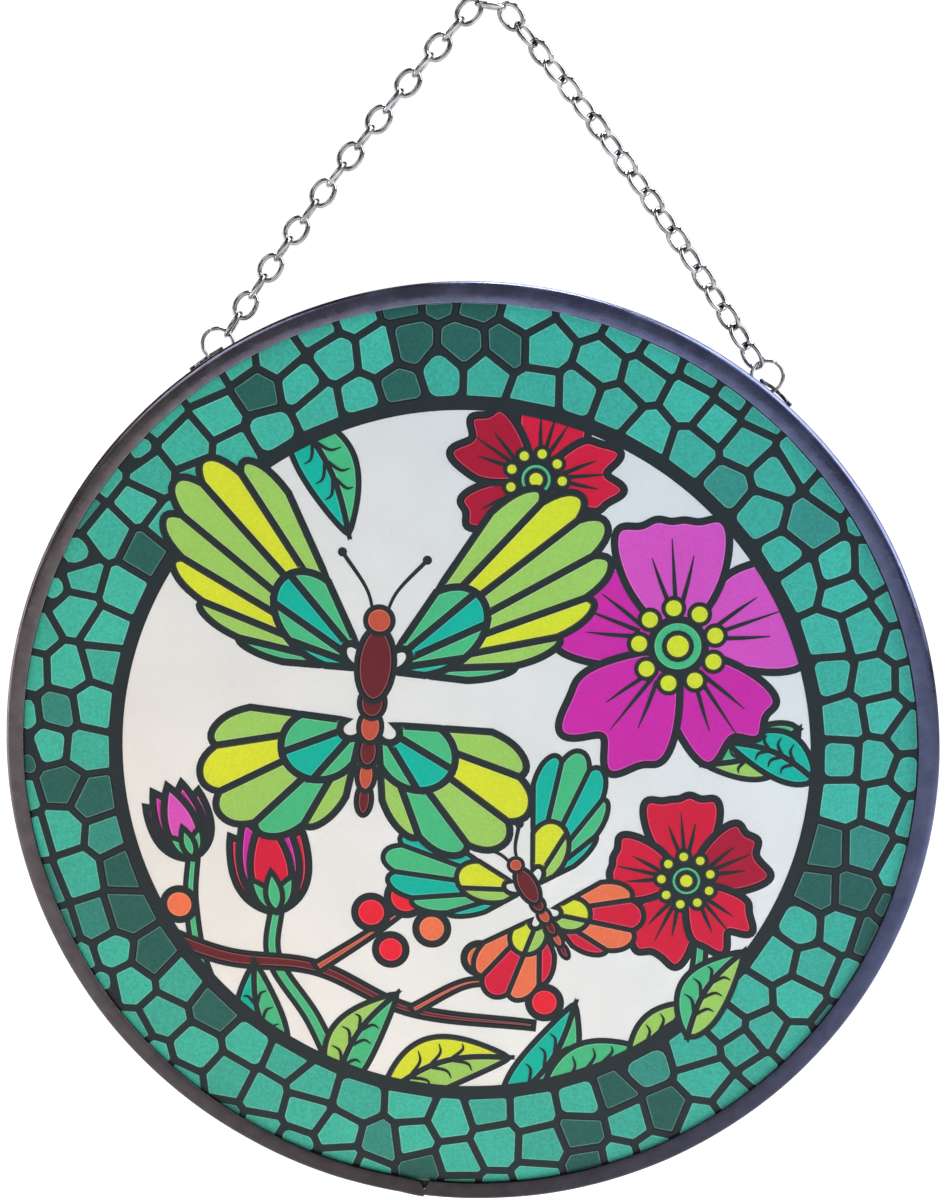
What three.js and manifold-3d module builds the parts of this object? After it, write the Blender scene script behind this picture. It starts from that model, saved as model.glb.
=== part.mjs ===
// A round suncatcher: a printed glass disc held in a bent metal channel, hung from two jump rings
// by a cable chain. Millimetres, +Z up, and the picture faces -Y. The origin is the point under the
// chain's middle link where a hook or nail bears, so the whole piece hangs below it.
import * as THREE from "three";
import { mergeVertices } from "three/addons/utils/BufferGeometryUtils.js";
import Module from "manifold-3d";

// The disc: a U-shaped channel wrapped round a sheet of glass.
const rimRadius = 75;
const rimDepth = 4.5;
const rimSheet = 0.5;
const rimFlange = 3.2; // from the outer wall to the lip that shows round the picture
const rimShoulder = 0.9;
const lipRound = 0.2;
const glassThickness = 3;
const glassRadius = 74.1;
const glassBevel = 0.3;

// The butt seam at the foot of the channel, a V in the flanges that closes to a hairline outside.
const seamTurn = 2.2; // degrees from the lowest point
const seamHairline = 0.24;
const seamMouth = 1.5;

// How the disc hangs: one leg of the chain is a link longer, so it hangs a little turned.
const discDrop = 116.9; // from the hook to the disc's centre
const discTurn = 1.55; // degrees, clockwise from the front
const ringAngle = 34.8; // degrees from the disc's own top to each jump ring
const ringCentreRadius = 76.4;
const rimBehindRings = 0.65; // from the rings' plane forward to the back of the channel

// Wire goods.
const ringOuter = 5.5;
const ringWire = 0.5;
const bailWire = 0.6;
const bailSpan = 6.4;
const linkLength = 4.9;
const linkWidth = 3.8;
const linkWire = 0.6;
const linkPlay = 0.06;
const apexPlay = 0.18;
const leftLinks = 18;
const rightLinks = 19;
const apexTilt = 6; // degrees, the middle link dips to the right
const legBow = 1.2; // how far each leg stands out from a straight line
const rightTwist = 42; // degrees, the right leg is wound round its own line
const twistRamp = 3; // links over which that twist builds up from the middle

// Facets.
const rimSteps = 80;
const roundSteps = 2;
const linkSteps = 12;
const wireSides = 6;
const ringSteps = 20;
const bailSteps = 14;

const degree = Math.PI / 180;
const wasm = await Module();
wasm.setup();

const darkMetal = { color: 0x3b3742, roughness: 0.28, metalness: 0.9 };
const brightMetal = { color: 0xd9dbdc, roughness: 0.14, metalness: 1 };
const printedGlass = { color: 0x4fae94, roughness: 0.12, metalness: 0 };

function named(name, geometry, look) {
  const mesh = new THREE.Mesh(geometry, new THREE.MeshStandardMaterial(look));
  mesh.name = name;
  return mesh;
}

// A closed geometry as a manifold solid: only positions, with shared corners merged.
function solidOf(geometry) {
  const bare = geometry.clone();
  bare.deleteAttribute("normal");
  bare.deleteAttribute("uv");
  const merged = mergeVertices(bare, 1e-4);
  return new wasm.Manifold(
    new wasm.Mesh({
      numProp: 3,
      vertProperties: merged.attributes.position.array,
      triVerts: new Uint32Array(merged.index.array),
    }),
  );
}

function geometryOf(solid) {
  const mesh = solid.getMesh();
  const geometry = new THREE.BufferGeometry();
  geometry.setAttribute("position", new THREE.BufferAttribute(mesh.vertProperties, 3));
  geometry.setIndex(new THREE.BufferAttribute(mesh.triVerts, 1));
  geometry.computeVertexNormals();
  return geometry;
}

// The channel's section in radius and depth: round shoulders outside, square corners inside.
function channelSection() {
  const half = rimDepth / 2;
  const lip = rimRadius - rimFlange;
  const wall = rimRadius - rimSheet;
  const section = new THREE.Shape();
  section.moveTo(lip, -half + rimSheet);
  section.lineTo(lip, -half + lipRound);
  section.lineTo(lip + lipRound, -half);
  section.lineTo(rimRadius - rimShoulder, -half);
  section.absarc(rimRadius - rimShoulder, -half + rimShoulder, rimShoulder, -Math.PI / 2, 0);
  section.absarc(rimRadius - rimShoulder, half - rimShoulder, rimShoulder, 0, Math.PI / 2);
  section.lineTo(lip + lipRound, half);
  section.lineTo(lip, half - lipRound);
  section.lineTo(lip, half - rimSheet);
  section.lineTo(wall, half - rimSheet);
  section.lineTo(wall, -half + rimSheet);
  section.closePath();
  return section;
}

// The wedge that parts the channel's two ends, narrow at the outer wall and wide at the lip.
function seamWedge() {
  const clear = 1;
  const outer = rimRadius + clear;
  const inner = rimRadius - rimFlange - clear;
  const wedge = new THREE.Shape();
  wedge.moveTo(-seamHairline / 2, -outer);
  wedge.lineTo(seamHairline / 2, -outer);
  wedge.lineTo(seamHairline / 2, -(rimRadius - rimShoulder));
  wedge.lineTo(seamMouth / 2, -inner);
  wedge.lineTo(-seamMouth / 2, -inner);
  wedge.lineTo(-seamHairline / 2, -(rimRadius - rimShoulder));
  const depth = rimDepth + 2 * clear;
  const geometry = new THREE.ExtrudeGeometry(wedge, { depth, bevelEnabled: false });
  return geometry.translate(0, 0, -depth / 2).rotateX(Math.PI / 2).rotateY(-seamTurn * degree);
}

function rim() {
  const points = channelSection().getPoints(roundSteps);
  const ring = solidOf(new THREE.LatheGeometry(points, rimSteps));
  return named("rim", geometryOf(ring.subtract(solidOf(seamWedge()))), darkMetal);
}

function glassPanel() {
  const half = glassThickness / 2;
  const flat = glassRadius - glassBevel;
  const section = [
    [0, -half],
    [flat, -half],
    [glassRadius, -half + glassBevel],
    [glassRadius, half - glassBevel],
    [flat, half],
    [0, half],
  ].map(([radius, depth]) => new THREE.Vector2(radius, depth));
  return named("glass_panel", new THREE.LatheGeometry(section, rimSteps), printedGlass);
}

// A point on or near the rim by its angle from the disc's top, its radius and its depth.
function aroundDisc(angle, radius, depth) {
  return new THREE.Vector3(radius * Math.sin(angle), depth, radius * Math.cos(angle));
}

// A low wire staple: both feet stand on the outer wall and its crown passes behind the jump ring,
// which it holds where the ring crosses the edge of the disc on the side away from the chain.
function bail(name, side) {
  const back = rimDepth / 2;
  const footRadius = rimRadius + bailWire / 2 + 0.05;
  const crownRadius = footRadius + 0.2;
  const crownDepth = back + rimBehindRings + ringWire / 2 + bailWire / 2 + 0.1;
  const footDepth = back - rimShoulder - bailWire / 2;
  const ringTurn = (ringOuter - ringWire) / 2 / rimRadius;
  const middle = side * (ringAngle * degree + ringTurn);
  const spread = bailSpan / 2 / rimRadius;
  const path = new THREE.CatmullRomCurve3([
    aroundDisc(middle - spread, footRadius, footDepth),
    aroundDisc(middle - spread * 0.72, footRadius, footDepth + 0.25),
    aroundDisc(middle - spread * 0.28, crownRadius, crownDepth - 0.35),
    aroundDisc(middle, crownRadius, crownDepth),
    aroundDisc(middle + spread * 0.28, crownRadius, crownDepth - 0.35),
    aroundDisc(middle + spread * 0.72, footRadius, footDepth + 0.25),
    aroundDisc(middle + spread, footRadius, footDepth),
  ]);
  const section = new THREE.Shape();
  section.absarc(0, 0, bailWire / 2, 0, 2 * Math.PI);
  const geometry = new THREE.ExtrudeGeometry(section, {
    steps: bailSteps,
    curveSegments: wireSides / 2,
    extrudePath: path,
  });
  return named(name, geometry, darkMetal);
}

// An oval link: a torus whose wire is moved along the link by the cosine of its own angle.
function linkGeometry() {
  const reach = (linkLength - linkWidth) / 2;
  const geometry = new THREE.TorusGeometry(
    (linkWidth - linkWire) / 2,
    linkWire / 2,
    wireSides,
    linkSteps,
  );
  const places = geometry.attributes.position;
  for (let i = 0; i < places.count; i++) {
    const x = places.getX(i);
    places.setX(i, x + (reach * x) / Math.hypot(x, places.getY(i)));
  }
  return geometry;
}

// Lays a link with its long axis along the leg and its face turned round that axis by twist.
function layLink(link, place, along, twist) {
  const across = new THREE.Vector3().crossVectors(along, new THREE.Vector3(0, 1, 0));
  const face = new THREE.Vector3(0, Math.cos(twist), 0).addScaledVector(across, Math.sin(twist));
  const side = new THREE.Vector3().crossVectors(face, along);
  link.position.copy(place);
  link.quaternion.setFromRotationMatrix(new THREE.Matrix4().makeBasis(along, side, face));
}

const discCentre = new THREE.Vector3(0, -rimBehindRings - rimDepth / 2, -discDrop);
const apexCentre = new THREE.Vector3(0, 0, linkWire / 2);
const apexAlong = new THREE.Vector3(Math.cos(apexTilt * degree), 0, -Math.sin(apexTilt * degree));

function ringCentre(side) {
  const place = aroundDisc(side * ringAngle * degree + discTurn * degree, ringCentreRadius, 0);
  return place.add(new THREE.Vector3(0, 0, -discDrop));
}

// One leg of the chain: links evenly spaced on a slightly bowed line from the middle link down to
// the jump ring, each turned a quarter turn from the last.
function leg(side, count, twist) {
  const ring = ringCentre(side);
  const down = ring.clone().sub(apexCentre).normalize();
  const outward = new THREE.Vector3(-down.z, 0, down.x).multiplyScalar(side);
  const start = apexCentre
    .clone()
    .addScaledVector(apexAlong, side * ((linkLength + linkWidth) / 2 - 2 * linkWire - apexPlay))
    .addScaledVector(down, (linkLength - linkWidth) / 2);
  const hold = (ringOuter - 2 * ringWire) / 2 + linkLength / 2 - linkWire - linkPlay;
  const end = ring.clone().addScaledVector(down, -hold);
  const middle = start.clone().add(end).multiplyScalar(0.5).addScaledVector(outward, 2 * legBow);
  const line = new THREE.QuadraticBezierCurve3(start, middle, end);
  return Array.from({ length: count }, (unused, i) => ({
    place: line.getPointAt(i / (count - 1)),
    along: line.getTangentAt(i / (count - 1)),
    twist: (i % 2) * 90 * degree + twist * Math.min(1, (i + 1) / twistRamp) * degree,
  }));
}

const suncatcher = new THREE.Group();

const disc = new THREE.Group();
disc.position.copy(discCentre);
disc.rotation.y = discTurn * degree;
disc.add(rim(), glassPanel(), bail("bail_left", -1), bail("bail_right", 1));
suncatcher.add(disc);

for (const [name, side] of [
  ["jump_ring_left", -1],
  ["jump_ring_right", 1],
]) {
  const radius = (ringOuter - ringWire) / 2;
  const geometry = new THREE.TorusGeometry(radius, ringWire / 2, wireSides, ringSteps);
  const ring = named(name, geometry.rotateX(Math.PI / 2), brightMetal);
  ring.position.copy(ringCentre(side));
  suncatcher.add(ring);
}

const links = [
  ...leg(-1, leftLinks, 0).reverse(),
  { place: apexCentre, along: apexAlong, twist: 90 * degree },
  ...leg(1, rightLinks, rightTwist),
];
links.forEach(({ place, along, twist }, i) => {
  const link = named(`chain_link_${String(i + 1).padStart(2, "0")}`, linkGeometry(), brightMetal);
  layLink(link, place, along, twist);
  suncatcher.add(link);
});

export default suncatcher;
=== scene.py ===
import math

import bpy
import numpy as np
from mathutils import Matrix, Vector
from mathutils.geometry import delaunay_2d_cdt


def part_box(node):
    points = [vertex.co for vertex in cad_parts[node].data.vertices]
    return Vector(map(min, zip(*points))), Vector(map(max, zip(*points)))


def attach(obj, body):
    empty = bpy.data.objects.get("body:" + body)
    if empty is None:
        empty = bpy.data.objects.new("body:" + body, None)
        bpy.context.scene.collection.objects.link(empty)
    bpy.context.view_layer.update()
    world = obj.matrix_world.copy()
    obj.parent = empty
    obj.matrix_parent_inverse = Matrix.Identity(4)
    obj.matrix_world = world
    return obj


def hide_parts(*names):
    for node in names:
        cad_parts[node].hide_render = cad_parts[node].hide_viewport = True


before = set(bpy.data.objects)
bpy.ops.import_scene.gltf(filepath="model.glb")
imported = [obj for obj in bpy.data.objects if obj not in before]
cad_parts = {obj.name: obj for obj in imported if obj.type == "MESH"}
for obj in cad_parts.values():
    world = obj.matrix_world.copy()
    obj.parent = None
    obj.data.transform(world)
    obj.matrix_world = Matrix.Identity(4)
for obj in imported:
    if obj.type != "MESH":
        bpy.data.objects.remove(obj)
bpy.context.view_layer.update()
mm = 0.001
print("frame loaded")


# ---- camera, floor and light

cameraValues = {
    "azimuth": 3.48,
    "elevation": 12.27,
    "roll": 1.69,
    "distance": 350.0,
    "aim": (0.26, 25.04),  # right of and above the middle of the disc
    "lens": 65.45,
}


# The camera stands on a line from the disc's front at the given angles and leans by the roll.
def makeCamera(values, centre):
    azimuth, elevation, roll = (math.radians(values[k]) for k in ("azimuth", "elevation", "roll"))
    level = math.cos(elevation)
    back = Vector((math.sin(azimuth) * level, -math.cos(azimuth) * level, math.sin(elevation)))
    place = centre + back * values["distance"] * mm
    aim = centre + Vector((values["aim"][0], 0, values["aim"][1])) * mm
    forward = (aim - place).normalized()
    right = forward.cross(Vector((0, 0, 1))).normalized()
    up = right.cross(forward)
    right, up = (
        right * math.cos(roll) + up * math.sin(roll),
        up * math.cos(roll) - right * math.sin(roll),
    )
    camera = bpy.data.cameras.new("camera")
    camera.lens = values["lens"]
    camera.sensor_width = 36
    camera.clip_start = 0.01
    made = bpy.data.objects.new("camera", camera)
    made.matrix_world = Matrix.Translation(place) @ Matrix((right, up, -forward)).transposed().to_4x4()
    bpy.context.scene.collection.objects.link(made)
    bpy.context.scene.camera = made


lightValues = {
    "floorHeight": -0.36,
    "floorReach": 14.0,
    "floorColour": (0.95, 0.945, 0.94),
    # the world's brightness by how far its direction points away behind the object, from -1 to 1
    "world": ((0.0, 0.3), (0.3, 0.24), (0.5, 0.03), (0.82, 0.03), (0.93, 1.04)),
    "worldTint": (1.0, 1.0, 1.0),
}
lamps = {
    "key": {"place": (0.78, -0.06, 0.6), "size": (0.8, 1.0), "power": 18, "colour": (0.97, 0.98, 1.0)},
    "fill": {"place": (-0.62, -0.38, 0.62), "size": (0.4, 0.4), "power": 1.8, "colour": (0.8, 0.88, 1.0)},
    "edge": {"place": (-0.95, -0.02, -0.05), "size": (0.25, 0.7), "power": 3, "colour": (1.0, 0.97, 0.94)},
}
sunValues = {"strength": 3.2, "angle": 24, "lean": (0.1, 0.25)}


# A level square floor, far below the object and wide enough to fill the view.
def makeStage(values):
    reach, height = values["floorReach"], values["floorHeight"]
    corners = np.array([[-1, -1], [1, -1], [1, 1], [-1, 1]]) * reach
    points = np.column_stack([corners, np.full(4, height)])
    floor = meshObject("floor", points, [np.array([[0, 1, 2, 3]])], False)
    floor.data.materials.append(newMaterial("floor", values["floorColour"], 0.8)[0])


# The world is bright straight behind the object, dark beside it and of middle brightness in front.
def makeWorld(values):
    world = bpy.data.worlds.new("studio")
    bpy.context.scene.world = world
    world.use_nodes = True
    nodes, links = world.node_tree.nodes, world.node_tree.links
    where = nodes.new("ShaderNodeTexCoord")
    split = nodes.new("ShaderNodeSeparateXYZ")
    span = nodes.new("ShaderNodeMapRange")
    ramp = nodes.new("ShaderNodeValToRGB")
    span.inputs["From Min"].default_value = -1
    stops = ramp.color_ramp.elements
    for number, (at, level) in enumerate(values["world"]):
        stop = stops[number] if number < 2 else stops.new(at)
        stop.position = at
        stop.color = (*(level * tint for tint in values["worldTint"]), 1)
    links.new(where.outputs["Generated"], split.inputs[0])
    links.new(split.outputs["Y"], span.inputs["Value"])
    links.new(span.outputs["Result"], ramp.inputs[0])
    links.new(ramp.outputs[0], nodes["Background"].inputs["Color"])


# A wide sun from above and a little behind, which lights the floor and leaves the picture's face alone.
def makeSun(values):
    light = bpy.data.lights.new("sun", "SUN")
    light.energy = values["strength"]
    light.angle = math.radians(values["angle"])
    sun = bpy.data.objects.new("sun", light)
    down = Vector((-values["lean"][0], -values["lean"][1], -1))
    sun.matrix_world = down.to_track_quat("-Z", "Y").to_matrix().to_4x4()
    bpy.context.scene.collection.objects.link(sun)


# Each lamp is a soft rectangle turned towards the disc.
def makeLamp(name, values, centre):
    light = bpy.data.lights.new(name, "AREA")
    light.shape = "RECTANGLE"
    light.size, light.size_y = values["size"]
    light.energy = values["power"]
    light.color = values["colour"]
    lamp = bpy.data.objects.new(name, light)
    place = centre + Vector(values["place"])
    turn = (centre - place).to_track_quat("-Z", "Y").to_matrix().to_4x4()
    lamp.matrix_world = Matrix.Translation(place) @ turn
    bpy.context.scene.collection.objects.link(lamp)


# ---- meshes and materials


# Six times the volume about the origin is summed triangle by triangle. Where it comes out negative the
# faces point inwards, and all are turned round.
def facedOut(points, groups):
    volume = 0.0
    for group in groups:
        first = points[group[:, 0]]
        for k in range(1, group.shape[1] - 1):
            volume += (first * np.cross(points[group[:, k]], points[group[:, k + 1]])).sum()
    return groups if volume > 0 else [group[:, ::-1] for group in groups]


# A mesh from its points and from groups of faces with equally many corners, with a colour for each face
# where colours are given and sharp edges past the angle in sharp.
def meshObject(name, points, groups, smooth=True, sharp=None, colours=None):
    mesh = bpy.data.meshes.new(name)
    corners = np.concatenate([np.asarray(group).ravel() for group in groups]).astype(np.int32)
    counts = np.concatenate([np.full(len(group), np.shape(group)[1]) for group in groups])
    starts = np.concatenate([[0], np.cumsum(counts)[:-1]]).astype(np.int32)
    mesh.vertices.add(len(points))
    mesh.vertices.foreach_set("co", np.asarray(points, np.float32).ravel())
    mesh.loops.add(len(corners))
    mesh.loops.foreach_set("vertex_index", corners)
    mesh.polygons.add(len(starts))
    mesh.polygons.foreach_set("loop_start", starts)
    mesh.update(calc_edges=True)
    mesh.validate()
    mesh.polygons.foreach_set("use_smooth", np.full(len(mesh.polygons), smooth))
    if colours is not None:
        layer = mesh.attributes.new("ink", "FLOAT_COLOR", "CORNER")
        layer.data.foreach_set("color", np.repeat(colours, counts, 0).astype(np.float32).ravel())
    if sharp is not None:
        mesh.set_sharp_from_angle(angle=math.radians(sharp))
    mesh.update()
    made = bpy.data.objects.new(name, mesh)
    bpy.context.scene.collection.objects.link(made)
    return made


# Each vector divided by its length.
def unit(vectors):
    return vectors / np.maximum(np.linalg.norm(vectors, axis=-1, keepdims=True), 1e-12)


# A round wire along a line: at each place a circle square to the line, closed on itself or capped.
def tube(line, radius, facing, around, closed):
    if closed:
        along = unit(np.roll(line, -1, 0) - np.roll(line, 1, 0))
    else:
        along = unit(np.gradient(line, axis=0))
    side = unit(np.cross(along, np.broadcast_to(facing, line.shape)))
    rise = np.cross(side, along)
    angle = 2 * math.pi * np.arange(around) / around
    spokes = np.cos(angle)[None, :, None] * side[:, None] + np.sin(angle)[None, :, None] * rise[:, None]
    points = (line[:, None] + np.asarray(radius)[:, None, None] * spokes).reshape(-1, 3)
    rows = np.arange(len(line) if closed else len(line) - 1)
    i, k = (grid.ravel() for grid in np.meshgrid(rows, np.arange(around), indexing="ij"))
    following, beside = (i + 1) % len(line), (k + 1) % around
    quads = np.stack(
        [i * around + k, i * around + beside, following * around + beside, following * around + k], 1
    )
    groups = [quads]
    if not closed:
        cap = np.arange(around)[None]
        groups += [cap[:, ::-1], cap + (len(line) - 1) * around]
    return points, facedOut(points, groups)


# A material with its shader's plain values set, and a short way to link its nodes.
def newMaterial(name, colour, roughness, metallic=0.0, coat=0.0, coatRoughness=0.1):
    material = bpy.data.materials.new(name)
    material.use_nodes = True
    nodes, links = material.node_tree.nodes, material.node_tree.links
    shader = nodes["Principled BSDF"]
    shader.inputs["Base Color"].default_value = (*colour, 1)
    shader.inputs["Roughness"].default_value = roughness
    shader.inputs["Metallic"].default_value = metallic
    shader.inputs["Coat Weight"].default_value = coat
    shader.inputs["Coat Roughness"].default_value = coatRoughness

    def link(source, socket):
        links.new(source, socket)

    return material, shader, nodes, link


# Noise in the object's own coordinates, stretched along the axes by scale, mapped onto a range.
def noise(nodes, link, scale, detail=3.0, low=0.0, high=1.0, stretch=(1, 1, 1), ends=(0.3, 0.7)):
    where = nodes.new("ShaderNodeTexCoord")
    mapping = nodes.new("ShaderNodeMapping")
    mapping.inputs["Scale"].default_value = stretch
    texture = nodes.new("ShaderNodeTexNoise")
    texture.inputs["Scale"].default_value = scale
    texture.inputs["Detail"].default_value = detail
    span = nodes.new("ShaderNodeMapRange")
    span.inputs["From Min"].default_value, span.inputs["From Max"].default_value = ends
    span.inputs["To Min"].default_value, span.inputs["To Max"].default_value = low, high
    link(where.outputs["Object"], mapping.inputs["Vector"])
    link(mapping.outputs[0], texture.inputs["Vector"])
    link(texture.outputs["Fac"], span.inputs["Value"])
    return span.outputs["Result"]


# A slow change across the object: a weighted sum of across and up, mapped onto a range.
def drift(nodes, link, weights, ends, low=0.0, high=1.0):
    where = nodes.new("ShaderNodeTexCoord")
    split = nodes.new("ShaderNodeSeparateXYZ")
    link(where.outputs["Object"], split.inputs[0])
    across, total = nodes.new("ShaderNodeMath"), nodes.new("ShaderNodeMath")
    across.operation, total.operation = "MULTIPLY", "MULTIPLY_ADD"
    across.inputs[1].default_value, total.inputs[1].default_value = weights
    link(split.outputs["X"], across.inputs[0])
    link(split.outputs["Z"], total.inputs[0])
    link(across.outputs[0], total.inputs[2])
    span = nodes.new("ShaderNodeMapRange")
    span.inputs["From Min"].default_value, span.inputs["From Max"].default_value = ends
    span.inputs["To Min"].default_value, span.inputs["To Max"].default_value = low, high
    link(total.outputs[0], span.inputs["Value"])
    return span.outputs["Result"]


# Small relief from a height, in millimetres.
def bump(nodes, link, shader, height, distance, strength=1.0):
    made = nodes.new("ShaderNodeBump")
    made.inputs["Strength"].default_value = strength
    made.inputs["Distance"].default_value = distance * mm
    link(height, made.inputs["Height"])
    link(made.outputs[0], shader.inputs["Normal"])


# Two colours put together, each of them and the factor a socket or a plain value.
def mixed(nodes, link, kind, factor, first, second):
    mix = nodes.new("ShaderNodeMix")
    mix.data_type = "RGBA"
    mix.blend_type = kind
    for value, socket in ((factor, mix.inputs[0]), (first, mix.inputs[6]), (second, mix.inputs[7])):
        if isinstance(value, bpy.types.NodeSocket):
            link(value, socket)
        elif isinstance(value, tuple):
            socket.default_value = (*value, 1)
        else:
            socket.default_value = value
    return mix.outputs[2]


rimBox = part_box("rim")
discCentre = (rimBox[0] + rimBox[1]) / 2
discTurn = 1.55
makeCamera(cameraValues, Vector((0, rimBox[0].y, discCentre.z)))
makeStage(lightValues)
makeWorld(lightValues)
makeSun(sunValues)
for lampName, lampValues in lamps.items():
    makeLamp(lampName, lampValues, discCentre)
bpy.context.scene.view_settings.view_transform = "Standard"
print("camera, floor and light made")


# Points given round the disc's own top, in millimetres across, deep and up, placed in the frame.
def placed(across, depth, up):
    a = math.radians(discTurn)
    x = across * math.cos(a) + up * math.sin(a)
    z = up * math.cos(a) - across * math.sin(a)
    return np.stack([x, depth + 0 * x, z], -1) * mm + np.array(discCentre)


# ---- rim

rimValues = {
    "radius": 75.0,
    "depth": 4.5,
    "sheet": 0.5,
    "flange": 3.2,
    "shoulder": 1.45,
    "shoulderDrop": 0.95,
    "lipRound": 0.2,
    "crown": 0.05,
    "lipShift": (-0.2, -0.15),
    "ripple": 0.03,
    "seamTurn": 2.2,
    "seamHairline": 0.04,
    "seamMouth": 1.5,
    "tabLength": 3.4,
    "tabRise": 0.28,
    "columns": 480,
}
rimLook = {
    "colour": (0.085, 0.072, 0.075),
    # painted reflection: the blue the metal turns towards the upper right, and how far across and up it
    # reaches
    "paintedCoolLight": (0.075, 0.085, 0.155),
    "paintedCoolLightWeights": (1.0, 0.45),  # of across and up
    "paintedCoolLightEnds": (-0.085, 0.0),
    # painted shade: the metal darkened towards the foot and the right
    "paintedShade": (0.3, 1.5),
    "paintedShadeWeights": (-0.25, 1.0),
    "paintedShadeEnds": (-0.2, -0.04),
    "roughness": (0.16, 0.34),
    "scuff": 0.02,
}


# The channel's section as radius and depth, front first: lip, crowned face, shoulder, wall and back.
def channelProfile(v):
    half, lip, outer = v["depth"] / 2, v["radius"] - v["flange"], v["radius"]
    turn = np.linspace(0, math.pi / 2, 9)
    ear, shoulder, drop = v["lipRound"], v["shoulder"], v["shoulderDrop"]
    flat = np.linspace(0, 1, 9)[1:-1]
    faceStart, faceEnd = lip + ear, outer - shoulder
    lipArc = np.stack([lip + ear * (1 - np.sin(turn)), -half + ear * (1 - np.cos(turn))], 1)[::-1]
    face = np.stack(
        [faceStart + (faceEnd - faceStart) * flat, -half - v["crown"] * 4 * flat * (1 - flat)], 1
    )
    corner = np.stack(
        [outer - shoulder * (1 - np.sin(turn)), -half + drop * (1 - np.cos(turn))], 1
    )
    wall = np.stack([np.full(3, outer), np.linspace(-0.4, 0.4, 3) * half], 1)
    front = np.concatenate([lipArc, face, corner])
    whole = np.concatenate([front, wall, (front * [1, -1])[::-1]])
    inside = np.array(
        [
            [lip, half - v["sheet"]],
            [outer - v["sheet"], half - v["sheet"]],
            [outer - v["sheet"], -half + v["sheet"]],
            [lip, -half + v["sheet"]],
        ]
    )
    return np.concatenate([whole, inside])


# The section is swept from one end of the seam round to the other. The gap opens from a hairline at the
# wall to the mouth at the lip, and the left end stands a little proud.
def makeRim(v, look):
    profile = channelProfile(v)
    radius, depth = profile[:, 0], profile[:, 1]
    inward = np.clip((v["radius"] - v["shoulder"] - radius) / (v["flange"] - v["shoulder"]), 0, 1)
    gap = v["seamHairline"] / 2 + (v["seamMouth"] - v["seamHairline"]) / 2 * inward
    share = np.linspace(0, 1, v["columns"])
    ease = share - 0.006 * np.sin(2 * math.pi * share * 2) / 2
    start = math.pi + math.radians(v["seamTurn"])
    leftGap = gap * (1 + 0.5 * inward**3)
    sweep = 2 * math.pi - (gap + leftGap) / radius
    angle = start + (leftGap / radius)[None] + sweep[None] * ease[:, None]
    wave = sum(
        np.sin(n * angle + p) * s
        for n, p, s in ((5, 0.4, 1.0), (11, 2.1, 0.7), (23, 4.0, 0.45), (41, 1.3, 0.25))
    )
    fromLeft = (angle - start) * v["radius"]
    tab = v["tabRise"] * np.clip(1 - fromLeft / v["tabLength"], 0, 1) ** 0.6
    shift = v["lipShift"][0] * np.sin(angle) + v["lipShift"][1] * np.cos(angle)
    reach = radius[None] + v["ripple"] * wave * 0.5 + tab + shift * inward[None]
    deep = depth[None] + v["ripple"] * np.roll(wave, 9, 0) * 0.6
    points = placed(reach * np.sin(angle), deep, reach * np.cos(angle)).reshape(-1, 3)
    m = len(profile)
    i, k = (g.ravel() for g in np.meshgrid(np.arange(v["columns"] - 1), np.arange(m), indexing="ij"))
    beside = (k + 1) % m
    quads = np.stack([i * m + k, i * m + beside, (i + 1) * m + beside, (i + 1) * m + k], 1)
    cap = np.arange(m)[None]
    groups = facedOut(points, [quads, cap[:, ::-1], cap + (v["columns"] - 1) * m])
    rim = meshObject("channel", points, groups, True, 40)
    rim.data.materials.append(darkMetal("channel metal", look))
    return rim


# Dark plated metal: a painted reflection turns its tint from warm at the left to blue at the upper right,
# and painted shade darkens it towards the foot and the right, with fine scuffs and duller smudges.
def darkMetal(name, look):
    material, shader, nodes, link = newMaterial(name, look["colour"], 0.25, 1.0)
    # painted reflection: the tint turns from warm at the left to blue at the upper right
    paintedCoolLightShare = drift(nodes, link, look["paintedCoolLightWeights"], look["paintedCoolLightEnds"])
    tint = mixed(nodes, link, "MIX", paintedCoolLightShare, look["colour"], look["paintedCoolLight"])
    # painted shade: darker towards the foot and the right, multiplied into the scuffed tone
    paintedShade = drift(nodes, link, look["paintedShadeWeights"], look["paintedShadeEnds"], *look["paintedShade"])
    wearAndPaintedShade = noise(nodes, link, 420, 6, 0.88, 1.16, ends=(0.35, 0.7))
    wearAndPaintedShade = mixed(nodes, link, "MULTIPLY", 1.0, wearAndPaintedShade, paintedShade)
    link(mixed(nodes, link, "MULTIPLY", 1.0, tint, wearAndPaintedShade), shader.inputs["Base Color"])
    link(noise(nodes, link, 160, 5, *look["roughness"]), shader.inputs["Roughness"])
    bump(nodes, link, shader, noise(nodes, link, 900, 6), look["scuff"], 0.6)
    return material


rim = makeRim(rimValues, rimLook)
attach(rim, "root")
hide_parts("rim")
print("rim made")


# ---- bails, jump rings and chain

bailValues = {
    "wire": 0.6,
    "span": 6.4,
    "ringAngle": 34.8,
    "behindRings": 0.65,
    "footIn": 0.9,  # from the rim's back to the feet
    "steps": 60,
    "around": 14,
}
ringValues = {"outer": 5.55, "wire": 0.6, "gap": 2.5, "offset": 0.05, "steps": 88, "around": 16}
linkValues = {
    "length": 5.0,
    "width": 3.9,
    "wire": 0.78,
    "sink": 0.8,  # how far the top links come down
    "square": 0.93,  # under 1 fills the oval's corners a little
    "weld": 0.1,
    "steps": 60,
    "around": 14,
}
legHeight = -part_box("jump_ring_left")[1].z
brightLook = {"colour": (0.3, 0.3, 0.31), "roughness": (0.06, 0.14)}


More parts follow.
